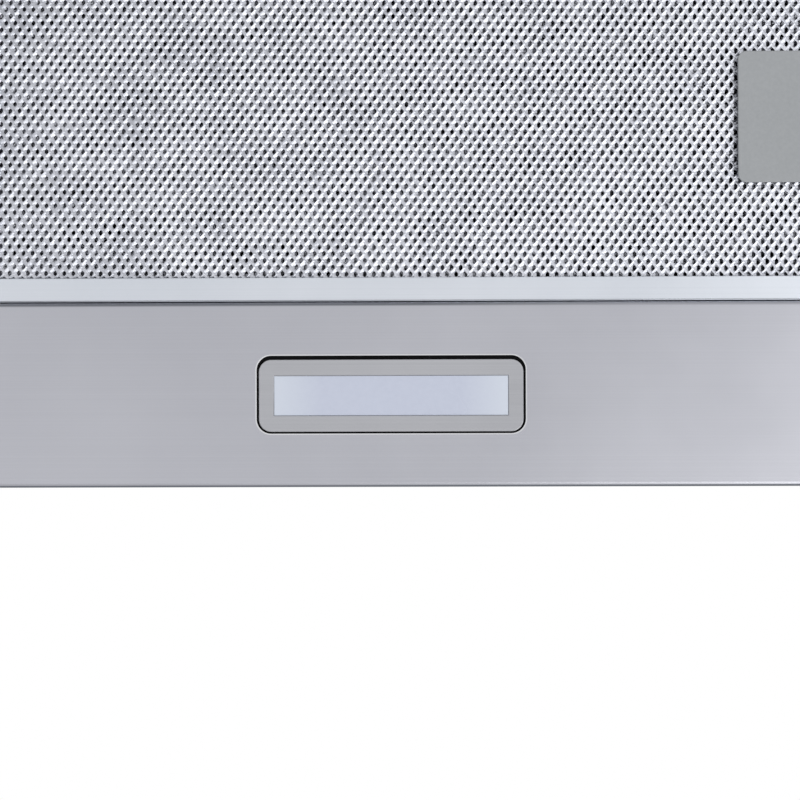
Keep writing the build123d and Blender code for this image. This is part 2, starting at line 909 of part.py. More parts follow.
def latch_spring():
    """A flat serpentine spring between the stop and the bar."""
    half = latch_bar_width / 2 - latch_side_gap * 4
    y0 = latch_spring_stop() + latch_spring_wire / 2
    y1 = latch_bar_front() - latch_spring_wire / 2
    pitch = (y1 - y0) / latch_spring_legs
    points = [(0, y0)]
    for leg in range(latch_spring_legs):
        side = 1 if leg % 2 else -1
        points.append((side * half, y0 + pitch * leg))
        points.append((side * half, y0 + pitch * (leg + 1)))
    points.append((0, y1))
    bar_z = latch_bar_bottom()
    return along_z(trace(Polyline(*points), line_width=latch_spring_wire), bar_z, bar_z + latch_bar_height)


# Visor


def fascia():
    """The front bar: a folded shell with closed ends and a cutout for the buttons."""
    half = body_sheet / 2
    rear = front_y + fascia_depth
    section = folded(
        [
            (rear - half, fascia_lip_height),
            (rear - half, half),
            (front_y + half, half),
            (front_y + half, chassis_height - half),
            (rear, chassis_height - half),
        ],
        body_sheet,
    )
    shell = along_x(section, -wall_x, wall_x)
    end = rounded(
        front_y + fascia_depth / 2, chassis_height / 2, fascia_depth, chassis_height, bend_radius + half
    )
    for x in ((-half_width, -wall_x), (wall_x, half_width)):
        shell += along_x(end, *x)
    opening = rounded(
        control_middle_x, control_middle_z, control_length(), control_face_height, control_corner
    )
    return shell - along_y(opening, front_y - 1, front_y + body_sheet + 1)


def control_length():
    """The length of the button strip's face."""
    return button_pitch * (button_count - 1) + button_width + control_end_margin * 2


def button_places():
    """The middle of each button, left to right."""
    first = control_middle_x - button_pitch * (button_count - 1) / 2
    return [first + button_pitch * index for index in range(button_count)]


def control_bezel():
    """The strip round the buttons, with a flange behind the fascia."""
    wall = front_y + body_sheet
    face = rounded(
        control_middle_x,
        control_middle_z,
        control_length() - button_gap * 2,
        control_face_height - button_gap * 2,
        control_corner - button_gap,
    )
    back = rounded(
        control_middle_x,
        control_middle_z,
        control_length() + control_flange * 2,
        control_face_height + control_flange * 2,
        control_corner + control_flange,
    )
    bezel = along_y(face, front_y + control_face_recess, wall + control_flange_thickness)
    bezel += along_y(back, wall, wall + control_flange_thickness)
    for x in button_places():
        half_width_open = button_width / 2 + button_gap
        half_height_open = button_height / 2 + button_gap
        bezel -= block(
            (x - half_width_open, x + half_width_open),
            (front_y - 1, wall + control_flange_thickness + 1),
            (control_middle_z - half_height_open, control_middle_z + half_height_open),
        )
    return bezel


def switch_block_front():
    """The front face of the switch block, clear of a button pressed home."""
    return front_y + button_depth + button_travel + 0.5


def switch_block():
    """The row of switches, on two legs behind the button strip."""
    y0 = switch_block_front()
    half = control_length() / 2
    leg = control_end_margin - 1
    x = (control_middle_x - half, control_middle_x + half)
    z = (control_middle_z - switch_block_height / 2, control_middle_z + switch_block_height / 2)
    body = block(x, (y0, y0 + switch_block_depth), z)
    seat = front_y + body_sheet + control_flange_thickness
    body += block((x[0], x[0] + leg), (seat, y0), z)
    body += block((x[1] - leg, x[1]), (seat, y0), z)
    socket = button_stem / 2 + switch_socket_gap
    depth = button_stem_length + 1
    for middle in button_places():
        body -= block(
            (middle - socket, middle + socket),
            (y0 - 1, y0 + depth),
            (control_middle_z - socket, control_middle_z + socket),
        )
    return body


def button(x):
    """One push button with its stem."""
    cap = block(
        (x - button_width / 2, x + button_width / 2),
        (front_y, front_y + button_depth),
        (control_middle_z - button_height / 2, control_middle_z + button_height / 2),
    )
    cap = chamfer(cap.faces().sort_by(Axis.Y)[0].edges(), button_bevel)
    half = button_stem / 2
    stem = block(
        (x - half, x + half),
        (front_y + button_depth, front_y + button_depth + button_stem_length),
        (control_middle_z - half, control_middle_z + half),
    )
    return cap + stem


def visor_arm():
    """The right arm of the visor: a channel whose lower flange carries the filter."""
    half = arm_sheet / 2
    x = arm_outer_x - half
    section = folded(
        [
            (arm_outer_x - visor_flange_width, visor_flange_z + half),
            (x, visor_flange_z + half),
            (x, visor_top_z - half),
            (arm_outer_x - visor_top_flange_width, visor_top_z - half),
        ],
        arm_sheet,
    )
    arm = along_y(section, front_y + body_sheet, slide_rear_y)
    behind = (crossbar_rear_y() + visor_top_plate_rear_overlap, slide_rear_y + 1)
    arm -= block((arm_inner_x - visor_flange_width, arm_inner_x), behind, (0, chassis_height))
    foot = block(
        (arm_outer_x - visor_top_flange_width, arm_inner_x),
        (front_y + body_sheet, front_y + body_sheet + arm_sheet),
        (visor_flange_z, visor_top_z),
    )
    lip_y = (front_y + fascia_depth - body_sheet - seam_gap, front_y + fascia_depth + seam_gap)
    notch = block((arm_outer_x - visor_flange_width - 1, arm_outer_x), lip_y, (0, fascia_lip_height + seam_gap))
    return arm + foot - notch


def visor_top_plate():
    """The plate over the pulled-out part, which keeps the fumes on their way to the fan."""
    x = arm_outer_x - joint_gap * 3
    y = (front_y + body_sheet + joint_gap, visor_filter_rear_y - visor_top_plate_rear_overlap)
    return block((-x, x), y, (visor_top_z, visor_top_z + body_sheet))


def crossbar_rear_y():
    """The rear edge of the visor's cross bar."""
    return visor_filter_rear_y + joint_gap * 4 + crossbar_depth


def visor_crossbar():
    """An angle that ties the two arms behind the filter, with a tab that trips the switch."""
    half = body_sheet / 2
    y0 = visor_filter_rear_y + joint_gap * 4
    z0 = visor_flange_z + arm_sheet
    top = visor_filter_z + filter_height
    section = folded([(y0 + half, top), (y0 + half, z0 + half), (crossbar_rear_y(), z0 + half)], body_sheet)
    x = arm_inner_x - bend_radius
    bar = along_x(section, -x, x)
    tab_x = (trip_tab_x - trip_tab_width / 2, trip_tab_x + trip_tab_width / 2)
    return bar + block(tab_x, (y0, y0 + body_sheet), (top - 1, top + trip_tab_height))


def visor_filter_half():
    """Half the width of the visor's filter, between the arms."""
    return arm_inner_x - seam_gap


# Slides


def roller_rows():
    """The height of the lower and the upper row of rollers."""
    reach = slide_height / 2 - slide_flange - roller_gap - roller_radius
    return (slide_middle_z - reach, slide_middle_z + reach)


def open_channel(x_open, x_web, y, z, sheet):
    """A rail of U section along Y that opens towards x_open."""
    side = 1 if x_web > x_open else -1
    outer = block((min(x_open, x_web), max(x_open, x_web)), y, z)
    hollow = sorted((x_open - side, x_web - side * sheet[0]))
    return outer - block(hollow, (y[0] - 1, y[1] + 1), (z[0] + sheet[1], z[1] - sheet[1]))


def slide_outer():
    """The fixed rail on the right side wall."""
    half = slide_height / 2
    z = (slide_middle_z - half, slide_middle_z + half)
    inner_x = arm_outer_x + slide_lip_gap
    return open_channel(inner_x, wall_x, (slide_front_y, slide_rear_y), z, (slide_web, slide_flange))


def slide_inner():
    """The moving rail on the right arm."""
    low, high = roller_rows()
    seat = roller_radius + roller_gap
    outer_x = wall_x - slide_web - cage_gap * 2 - cage_sheet
    z = (low + seat, high - seat)
    return open_channel(outer_x, arm_outer_x, (slide_front_y, slide_rear_y), z, (slide_web, slide_flange))


def roller_places():
    """The rollers of one row, spread over the cage at rest."""
    middle = (slide_front_y + slide_rear_y) / 2
    step = cage_length() / rollers_per_row
    return [middle - cage_length() / 2 + step * (index + 0.5) for index in range(rollers_per_row)]


def cage_length():
    """The cage stays between both rails when the visor is pulled out."""
    return slide_length - visor_travel - cage_end_margin * 2


def roller_cage():
    """The bent strip on the right that keeps two rows of rollers apart, with its rollers."""
    low, high = roller_rows()
    half = cage_sheet / 2
    middle = (slide_front_y + slide_rear_y) / 2
    y = (middle - cage_length() / 2, middle + cage_length() / 2)
    web_x = wall_x - slide_web - cage_gap
    inner_x = roller_x - roller_length / 2 - roller_gap - cage_sheet
    cage = open_channel(inner_x, web_x, y, (low - half, high + half), (cage_sheet, cage_sheet))
    x = (roller_x - roller_length / 2, roller_x + roller_length / 2)
    pocket_x = (x[0] - roller_gap, x[1] + roller_gap)
    reach = roller_radius + roller_gap
    rollers = []
    for z in (low, high):
        for roller_y in roller_places():
            cage -= block(pocket_x, (roller_y - reach, roller_y + reach), (z - half - 1, z + half + 1))
            rollers.append(rod_x(roller_y, z, roller_radius, *x))
    return joined([cage] + rollers)


# Electrical pieces


def grommet_y():
    """The cable inlet's place in front of the motor box's rear wall."""
    return box_rear_y - grommet_setback


def grommet_slab(half, z0, z1):
    """A square block round the middle of the cable inlet."""
    y = grommet_y()
    return block((grommet_x - half, grommet_x + half), (y - half, y + half), (z0, z1))


def cable_grommet():
    """The square rubber bush of the mains inlet, with a groove for the sheet."""
    gap = joint_gap / 2
    t = grommet_flange_thickness
    low = box_top_z - t - gap
    high = hood_height + t + gap
    head = grommet_slab(grommet_flange, hood_height + gap, high)
    head = chamfer(head.faces().sort_by(Axis.Z)[-1].edges(), t / 2)
    bush = head + grommet_slab(grommet_neck - gap, low, high - t)
    bush += grommet_slab(grommet_flange, low, box_top_z - gap)
    return bush - rod_z(grommet_x, grommet_y(), grommet_bore, low - 1, high + 1)


def terminal_box_rear():
    """The rear face of the terminal box, clear of the bend in the motor box."""
    return box_rear_y - body_sheet - bend_radius


def terminal_box():
    """The box under the inlet, open at its bottom, with room for the grommet."""
    w, d, h = terminal_box_size
    t = terminal_box_wall
    x = (grommet_x - w / 2, grommet_x + w / 2)
    y = (terminal_box_rear() - d, terminal_box_rear())
    box = block(x, y, (box_top_z - h, box_top_z))
    box -= block((x[0] + t, x[1] - t), (y[0] + t, y[1] - t), (box_top_z - h - 1, box_top_z - t))
    return box - grommet_slab(grommet_flange + joint_gap, box_top_z - t - 1, box_top_z + 1)


def terminal_cover():
    """The lid that closes the terminal box from below, with a rim inside the walls."""
    w, d, h = terminal_box_size
    t = terminal_box_wall
    y1 = terminal_box_rear()
    z = box_top_z - h
    lid = block((grommet_x - w / 2, grommet_x + w / 2), (y1 - d, y1), (z - t, z))
    rim = t + joint_gap
    lid += block(
        (grommet_x - w / 2 + rim, grommet_x + w / 2 - rim), (y1 - d + rim, y1 - rim), (z, z + t * 1.5)
    )
    return lid - block(
        (grommet_x - w / 2 + rim + t, grommet_x + w / 2 - rim - t),
        (y1 - d + rim + t, y1 - rim - t),
        (z, z + t * 2),
    )


def led_driver():
    """The supply of the lamps, on the rear wall of the motor box."""
    w, d, h = driver_size
    y1 = box_rear_y - body_sheet
    body = block((driver_x - w / 2, driver_x + w / 2), (y1 - d, y1), (driver_z, driver_z + h))
    return chamfer(body.faces().sort_by(Axis.Y)[0].edges(), driver_bevel)


def capacitor():
    """The motor's capacitor, on the front wall of the motor box."""
    w, d, h = capacitor_size
    wall = box_front_y + body_sheet
    x = (capacitor_x - w / 2, capacitor_x + w / 2)
    body = block(x, (wall, wall + d), (capacitor_z - h / 2, capacitor_z + h / 2))
    return chamfer(body.faces().sort_by(Axis.Y)[-1].edges(), driver_bevel)


def microswitch():
    """The switch that the visor's tab trips, on a foot under the deck."""
    w, d, h = switch_body_size
    tab_rear = visor_filter_rear_y + joint_gap * 4 + body_sheet
    y0 = tab_rear + switch_clear
    x = (trip_tab_x - w / 2, trip_tab_x + w / 2)
    body = block(x, (y0, y0 + d), (switch_body_z, switch_body_z + h))
    strap = (y0 + d - body_sheet * 2, y0 + d)
    body += block(x, strap, (switch_body_z, deck_z))
    body += block(x, (y0, y0 + d + d / 2), (deck_z - body_sheet, deck_z))
    lever = along_x(
        make_face(
            Polyline(
                (y0 + body_sheet, switch_body_z + h - switch_lever_drop),
                (tab_rear + joint_gap * 3, switch_body_z + h * 0.35),
                (tab_rear + joint_gap * 3 + panel_sheet, switch_body_z + h * 0.35),
                (y0 + body_sheet, switch_body_z + h - switch_lever_drop - body_sheet),
                close=True,
            )
        ),
        trip_tab_x - trip_tab_width / 4,
        trip_tab_x + trip_tab_width / 4,
    )
    return body + lever


def build():
    """Every node's solids, by name."""
    lamp_x = lamp_spacing / 2
    nodes = {
        "side_panel_right": side_panel(),
        "side_panel_left": other_side(side_panel()),
        "lamp_panel": lamp_panel(),
        "front_rail": front_rail(),
        "deck_plate": deck_plate(),
        "motor_box_wrap": motor_box_wrap(),
        "motor_box_end_right": motor_box_end(),
        "motor_box_end_left": other_side(motor_box_end()),
        "slide_outer_right": slide_outer(),
        "slide_outer_left": other_side(slide_outer()),
        "duct_spigot": duct_spigot(),
        "flap_bar": flap_bar(),
        "scroll_wrap": scroll_wrap(),
        "scroll_side_right": scroll_side(),
        "scroll_side_left": other_side(scroll_side()),
        "motor_bracket": motor_bracket(),
        "motor_shield_inner": motor_shield(True),
        "motor_shield_outer": motor_shield(False),
        "motor_stack": motor_stack(),
        "capacitor": capacitor(),
        "led_driver": led_driver(),
        "terminal_box": terminal_box(),
        "terminal_cover": terminal_cover(),
        "cable_grommet": cable_grommet(),
        "microswitch": microswitch(),
        "led_boards": joined([led_board(-lamp_x), led_board(lamp_x)]),
        "fascia": fascia(),
        "visor_arm_right": visor_arm(),
        "visor_arm_left": other_side(visor_arm()),
        "visor_top_plate": visor_top_plate(),
        "visor_crossbar": visor_crossbar(),
        "visor_filter_frame": joined(
            filter_rails(visor_filter_half(), visor_filter_front_y, visor_filter_rear_y, visor_filter_z)
        ),
        "visor_filter_mesh": joined(
            mesh_layers(visor_filter_half(), visor_filter_front_y, visor_filter_rear_y, visor_filter_z)
        ),
        "slide_inner_right": slide_inner(),
        "slide_inner_left": other_side(slide_inner()),
        "control_bezel": control_bezel(),
        "switch_block": switch_block(),
        "roller_cage_right": roller_cage(),
        "roller_cage_left": joined([other_side(s) for s in roller_cage().solids()]),
        "fan_drum": drum(),
        "motor_shaft": motor_shaft(),
        "flap_front": flap(-1),
        "flap_rear": flap(1),
        "filter_frame": filter_frame(),
        "filter_mesh": filter_mesh(),
        "latch_plate": latch_plate(),
        "latch_slider": latch_slider(),
        "latch_spring": latch_spring(),
    }
    for side, x in (("left", -lamp_x), ("right", lamp_x)):
        nodes[f"lamp_bezel_{side}"] = lamp_bezel(x)
        nodes[f"lamp_lens_{side}"] = lamp_lens(x)
        nodes[f"lamp_housing_{side}"] = lamp_housing(x)
    names = ["button_off", "button_speed_1", "button_speed_2", "button_speed_3", "button_light"]
    for name, x in zip(names, button_places()):
        nodes[name] = button(x)
    return nodes


os.makedirs("parts", exist_ok=True)
for node_name, solid in build().items():
    export_step(solid, f"parts/{node_name}.step")
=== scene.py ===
"""Telescopic range hood: its materials, fine pieces, light and camera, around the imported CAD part."""

import math

import bpy
import numpy as np
from mathutils import Matrix, Vector


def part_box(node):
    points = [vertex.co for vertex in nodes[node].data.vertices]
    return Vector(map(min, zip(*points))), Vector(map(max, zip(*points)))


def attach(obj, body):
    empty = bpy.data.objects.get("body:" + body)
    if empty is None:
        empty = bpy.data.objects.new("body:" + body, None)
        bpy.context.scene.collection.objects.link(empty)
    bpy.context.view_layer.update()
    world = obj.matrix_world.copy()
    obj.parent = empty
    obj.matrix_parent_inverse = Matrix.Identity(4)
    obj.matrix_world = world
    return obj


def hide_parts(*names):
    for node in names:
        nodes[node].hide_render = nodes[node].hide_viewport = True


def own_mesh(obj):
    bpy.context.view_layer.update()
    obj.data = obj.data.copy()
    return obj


MM = 0.001

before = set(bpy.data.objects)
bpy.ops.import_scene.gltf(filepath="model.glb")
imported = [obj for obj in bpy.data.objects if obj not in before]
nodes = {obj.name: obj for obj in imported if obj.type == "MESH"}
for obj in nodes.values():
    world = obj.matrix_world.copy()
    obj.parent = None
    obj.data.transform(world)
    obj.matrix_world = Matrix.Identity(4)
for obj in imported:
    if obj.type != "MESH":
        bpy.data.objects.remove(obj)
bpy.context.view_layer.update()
scene = bpy.context.scene


# Materials
def add(tree, kind, values=None, **settings):
    """A shader node with its settings and its inputs, where an input may be another node's output."""
    made = tree.nodes.new(kind)
    for key, value in settings.items():
        setattr(made, key, value)
    for key, value in (values or {}).items():
        if isinstance(value, bpy.types.NodeSocket):
            tree.links.new(value, made.inputs[key])
        else:
            made.inputs[key].default_value = value
    return made


def math_node(tree, operation, first, second=0.0):
    """One sum in a material."""
    return add(tree, "ShaderNodeMath", {0: first, 1: second}, operation=operation).outputs[0]


def new_material(name):
    """A material with one principled shader: its tree and that shader."""
    material = bpy.data.materials.new(name)
    material.use_nodes = True
    tree = material.node_tree
    tree.nodes.clear()
    output = tree.nodes.new("ShaderNodeOutputMaterial")
    shader = tree.nodes.new("ShaderNodeBsdfPrincipled")
    tree.links.new(shader.outputs[0], output.inputs["Surface"])
    return material, tree, shader


def noise(tree, scale, detail=3.0, rough=0.55):
    """Noise in the row frame; scale is how many blobs fit in a metre along x, y and z."""
    place = add(tree, "ShaderNodeTexCoord").outputs["Object"]
    mapped = add(tree, "ShaderNodeMapping", {"Vector": place, "Scale": scale}).outputs[0]
    return add(
        tree, "ShaderNodeTexNoise", {"Vector": mapped, "Scale": 1.0, "Detail": detail, "Roughness": rough}
    ).outputs["Fac"]


def ramp(tree, value, low, high, start=0.35, end=0.65):
    """The value spread from low to high, two numbers."""
    return add(
        tree,
        "ShaderNodeMapRange",
        {"Value": value, "From Min": start, "From Max": end, "To Min": low, "To Max": high},
    ).outputs[0]


def blend_colours(tree, value, low, high, start=0.35, end=0.65):
    """The value as a colour between two colours."""
    made = add(tree, "ShaderNodeValToRGB", {"Fac": value})
    made.color_ramp.elements[0].position = start
    made.color_ramp.elements[0].color = (*low, 1)
    made.color_ramp.elements[1].position = end
    made.color_ramp.elements[1].color = (*high, 1)
    return made.outputs["Color"]


def bump(tree, shader, height, strength, distance):
    """Fine relief on a shader."""
    made = add(tree, "ShaderNodeBump", {"Height": height, "Strength": strength, "Distance": distance})
    tree.links.new(made.outputs[0], shader.inputs["Normal"])


def metal(name, low, high, rough, grain, grain_strength=0.15, blotch=18.0, grain_depth=0.00004):
    """A metal whose grain lies along one axis: low and high are its two close colours."""
    material, tree, shader = new_material(name)
    clouds = noise(tree, (blotch, blotch, blotch), 3.0)
    lines = noise(tree, grain, 4.0, 0.7)
    half = math_node(tree, "MULTIPLY", math_node(tree, "ADD", clouds, lines), 0.5)
    tree.links.new(blend_colours(tree, half, low, high), shader.inputs["Base Color"])
    tree.links.new(ramp(tree, half, rough[0], rough[1]), shader.inputs["Roughness"])
    bump(tree, shader, lines, grain_strength, grain_depth)
    shader.inputs["Metallic"].default_value = 1.0
    return material


def plastic(name, low, high, rough, texture=900.0, depth=0.00005, strength=0.15, coat=0.0, specular=0.5):
    """A moulded plastic, a paint or a rubber with a fine surface."""
    material, tree, shader = new_material(name)
    clouds = noise(tree, (14.0, 14.0, 14.0), 4.0)
    grain = noise(tree, (texture, texture, texture), 2.0)
    half = math_node(tree, "MULTIPLY", math_node(tree, "ADD", clouds, grain), 0.5)
    tree.links.new(blend_colours(tree, half, low, high), shader.inputs["Base Color"])
    tree.links.new(ramp(tree, clouds, rough[0], rough[1]), shader.inputs["Roughness"])
    bump(tree, shader, grain, strength, depth)
    shader.inputs["Coat Weight"].default_value = coat
    shader.inputs["Specular IOR Level"].default_value = specular
    return material


def object_axes(tree):
    """The place on the part along x, y and z, in metres."""
    place = add(tree, "ShaderNodeTexCoord").outputs["Object"]
    axes = add(tree, "ShaderNodeSeparateXYZ", {"Vector": place}).outputs
    return axes["X"], axes["Y"], axes["Z"]


def shader_of(tree):
    """The principled shader of a finished material."""
    return next(n for n in tree.nodes if n.type == "BSDF_PRINCIPLED")


def mix_over(tree, shader, socket, mask, over):
    """Lays a second value or colour over what feeds a socket, by a mask."""
    under = shader.inputs[socket].links[0].from_socket
    is_colour = isinstance(over, tuple)
    mixed = tree.nodes.new("ShaderNodeMix")
    mixed.data_type = "RGBA" if is_colour else "FLOAT"
    first, second, result = (6, 7, 2) if is_colour else (2, 3, 0)
    tree.links.new(mask, mixed.inputs[0])
    tree.links.new(under, mixed.inputs[first])
    mixed.inputs[second].default_value = (*over, 1) if is_colour else over
    tree.links.new(mixed.outputs[result], shader.inputs[socket])


# Painted light on the lamp panel: the width of the painted highlight round the cutouts, then where the
# painted shade lines on the bends lie
RIM_HIGHLIGHT_WIDTH = 0.00030
SHADE_BELOW, SHADE_END = 0.0008, 0.0014  # the heights between which the painted shade lines fade out
REAR_SHADE_LINE = (0.0008, 0.0005)  # in front of the rear edge
FRONT_SHADE_IN, FRONT_SHADE_OUT = (0.0002, 0.0006), (0.0009, 0.0014)  # behind the front edge
FRONT_SHADE_FAINT_X, FRONT_SHADE_FULL_X = 0.06, 0.13


def cutout_distance(tree, x, y, middle, half, corner):
    """How far a place is outside the lamp cutout's rounded outline, in metres."""
    reach = []
    for axis in (0, 1):
        off = math_node(tree, "ABSOLUTE", math_node(tree, "SUBTRACT", (x, y)[axis], middle[axis]))
        reach.append(math_node(tree, "SUBTRACT", off, half[axis] - corner))
    outside = [math_node(tree, "POWER", math_node(tree, "MAXIMUM", value, 0.0), 2.0) for value in reach]
    away = math_node(tree, "SQRT", math_node(tree, "ADD", outside[0], outside[1]))
    inner = math_node(tree, "MINIMUM", math_node(tree, "MAXIMUM", reach[0], reach[1]), 0.0)
    return math_node(tree, "SUBTRACT", math_node(tree, "ADD", away, inner), corner)


def paint_edge_highlights_and_shade(material, middle, half, corner, front_y, rear_y):
    """Painted light on the sheet: painted highlights round both lamp cutouts, and painted shade on the
    front and rear bends; the front shade is fainter towards the hood's middle."""
    tree = material.node_tree
    shader = shader_of(tree)
    x, y, z = object_axes(tree)
    x = math_node(tree, "ABSOLUTE", x)
    rim = cutout_distance(tree, x, y, middle, half, corner)
    # painted highlight: a bright line round each lamp cutout
    rim_highlight = ramp(tree, rim, 1.0, 0.0, RIM_HIGHLIGHT_WIDTH, RIM_HIGHLIGHT_WIDTH * 1.5)
    mix_over(tree, shader, "Base Color", rim_highlight, (0.97, 0.975, 0.99))
    mix_over(tree, shader, "Roughness", rim_highlight, 0.22)
    below = ramp(tree, z, 1.0, 0.0, SHADE_BELOW, SHADE_END)
    # painted shade: a dark line on the rear bend, low on the sheet
    rear_bend_shade = ramp(tree, y, 0.0, 1.0, *(rear_y - back for back in REAR_SHADE_LINE))
    mix_over(tree, shader, "Base Color", math_node(tree, "MULTIPLY", rear_bend_shade, below), (0.20, 0.215, 0.25))
    # painted shade: a dark line along the front bend, fainter towards the hood's middle
    fade_out = ramp(tree, y, 1.0, 0.0, *(front_y + back for back in FRONT_SHADE_OUT))
    fade_in = ramp(tree, y, 0.25, 1.0, *(front_y + back for back in FRONT_SHADE_IN))
    front_bend_shade = math_node(tree, "MULTIPLY", fade_out, fade_in)
    along = ramp(tree, x, 0.2, 1.0, FRONT_SHADE_FAINT_X, FRONT_SHADE_FULL_X)
    front_bend_shade = math_node(tree, "MULTIPLY", math_node(tree, "MULTIPLY", front_bend_shade, along), below)
    mix_over(tree, shader, "Base Color", front_bend_shade, (0.26, 0.27, 0.30))


def light_ends(material, lamp_x, start, end):
    """A lens that is a little paler towards both ends of its lamp."""
    tree = material.node_tree
    shader = shader_of(tree)
    x = math_node(tree, "ABSOLUTE", object_axes(tree)[0])
    off = math_node(tree, "ABSOLUTE", math_node(tree, "SUBTRACT", x, lamp_x))
    mix_over(tree, shader, "Base Color", ramp(tree, off, 0.0, 1.0, start, end), (0.72, 0.77, 0.86))


ALONG_X = (0.5, 1500.0, 1500.0)
stainless = metal("stainless_brushed", (0.59, 0.595, 0.64), (0.64, 0.645, 0.69), (0.30, 0.36), ALONG_X)
stainless_trim = metal("stainless_trim", (0.55, 0.555, 0.58), (0.62, 0.625, 0.65), (0.28, 0.34), ALONG_X)
zinc = metal(
    "zinc_coated", (0.47, 0.49, 0.515), (0.54, 0.56, 0.585), (0.40, 0.50), (160.0, 160.0, 160.0), 0.1, 110.0
)
aluminium = metal("filter_frame_aluminium", (0.84, 0.88, 0.94), (0.90, 0.935, 0.99), (0.30, 0.40), ALONG_X)
strand_metal = metal(
    "expanded_aluminium",
    (0.56, 0.575, 0.63),
    (0.84, 0.855, 0.91),
    (0.30, 0.46),
    (1400.0, 1400.0, 1400.0),
    0.9,
    60.0,
    0.00010,
)
# Painted shade: the inner mesh sheets use a darker aluminium than the front sheet, for the shadow the front
# sheet casts on them
inner_strand = metal(
    "shaded_aluminium", (0.27, 0.28, 0.31), (0.50, 0.51, 0.55), (0.20, 0.34), (500.0, 500.0, 500.0), 0.3, 60.0
)
shield_metal = metal(
    "pressed_aluminium", (0.62, 0.63, 0.65), (0.74, 0.75, 0.77), (0.34, 0.5), (60.0, 60.0, 60.0)
)
stack_steel = metal(
    "laminated_steel", (0.16, 0.165, 0.175), (0.30, 0.31, 0.33), (0.35, 0.5), (2000.0, 5.0, 5.0), 0.9
)
shaft_steel = metal(
    "ground_steel", (0.55, 0.56, 0.58), (0.66, 0.67, 0.69), (0.18, 0.28), (900.0, 40.0, 40.0)
)
screw_metal = metal(
    "screw_zinc", (0.58, 0.59, 0.60), (0.72, 0.73, 0.74), (0.25, 0.38), (300.0, 300.0, 300.0)
)
paint = plastic(
    "silver_paint", (0.355, 0.368, 0.38), (0.40, 0.413, 0.425), (0.32, 0.42), 1400.0, 0.00002, 0.2, 0.25
)
grey_plastic = plastic("grey_plastic", (0.36, 0.375, 0.385), (0.40, 0.415, 0.425), (0.42, 0.52))
dark_plastic = plastic(
    "dark_plastic", (0.010, 0.010, 0.012), (0.020, 0.020, 0.023), (0.42, 0.58), 700.0, specular=0.3
)
white_plastic = plastic("white_plastic", (0.70, 0.71, 0.71), (0.80, 0.81, 0.80), (0.35, 0.48))
rubber = plastic(
    "black_rubber", (0.012, 0.012, 0.012), (0.028, 0.028, 0.028), (0.6, 0.8), 500.0, 0.00008, 0.3
)
lens_plastic = plastic(
    "milky_lens", (0.60, 0.64, 0.76), (0.63, 0.67, 0.79), (0.24, 0.30), 600.0, 0.00001, 0.1, 0.2
)
LAMP_X, LAMP_Y = 0.140, 0.1154
LENS_PALE_FROM, LENS_HALF = 0.022, 0.0374
CUTOUT_HALF, CUTOUT_CORNER = (0.043, 0.01245), 0.0046
light_ends(lens_plastic, LAMP_X, LENS_PALE_FROM, LENS_HALF)
panel_steel = metal("lamp_panel_steel", (0.59, 0.595, 0.64), (0.64, 0.645, 0.69), (0.30, 0.36), ALONG_X)
panel_low, panel_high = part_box("lamp_panel")
# the lamp panel's steel, with its painted highlights round the cutouts and painted shade on its bends
paint_edge_highlights_and_shade(panel_steel, (LAMP_X, LAMP_Y), CUTOUT_HALF, CUTOUT_CORNER, panel_low.y, panel_high.y)
# Black plastic for the lamp housings, made darker than the other dark plastic as painted shade, so that the
# gap round each bezel shows as deep shade
housing_black = plastic(
    "housing_black", (0.003, 0.003, 0.0035), (0.006, 0.006, 0.007), (0.55, 0.7), specular=0.06
)

by_slot = {
    "stainless": stainless,
    "silver_paint": paint,
    "zinc_steel": zinc,
    "filter_aluminium": aluminium,
    "grey_plastic": grey_plastic,
    "dark_plastic": dark_plastic,
    "white_plastic": white_plastic,
    "milky_lens": lens_plastic,
    "motor_steel": stack_steel,
    "motor_shield": shield_metal,
    "black_rubber": rubber,
}
own = {
    "motor_shaft": shaft_steel,
    "lamp_bezel_left": stainless_trim,
    "lamp_bezel_right": stainless_trim,
    "lamp_housing_left": housing_black,
    "lamp_housing_right": housing_black,
    "lamp_panel": panel_steel,
}
for name, obj in nodes.items():
    slot = obj.data.materials[0].name
    obj.data.materials[0] = own.get(name, by_slot[slot])


# Edges of the sheet metal and mouldings
SAME_PLACE = 0.000002
FLAT_ANGLE, KEEN_ANGLE, BEVEL_ANGLE = math.radians(0.5), math.radians(28), math.radians(35)


def edge_tidier():
    """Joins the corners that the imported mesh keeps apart, and keeps only real edges sharp."""
    group = bpy.data.node_groups.new("real_edges", "GeometryNodeTree")
    group.interface.new_socket("Geometry", in_out="INPUT", socket_type="NodeSocketGeometry")
    group.interface.new_socket("Geometry", in_out="OUTPUT", socket_type="NodeSocketGeometry")
    start = group.nodes.new("NodeGroupInput").outputs[0]
    plain = add(group, "GeometryNodeRemoveAttribute", {"Geometry": start, "Name": "custom_normal"}).outputs[0]
    joined = add(group, "GeometryNodeMergeByDistance", {"Geometry": plain, "Distance": SAME_PLACE}).outputs[0]
    smooth = add(group, "GeometryNodeSetShadeSmooth", {"Geometry": joined, "Shade Smooth": True}).outputs[0]
    angle = add(group, "GeometryNodeInputMeshEdgeAngle").outputs["Unsigned Angle"]
    keen = math_node(group, "GREATER_THAN", angle, KEEN_ANGLE)
    edges = add(
        group, "GeometryNodeSetShadeSmooth", {"Geometry": smooth, "Selection": keen, "Shade Smooth": False}
    )
    edges.domain = "EDGE"
    end = group.nodes.new("NodeGroupOutput")
    group.links.new(edges.outputs[0], end.inputs[0])
    return group


real_edges = edge_tidier()


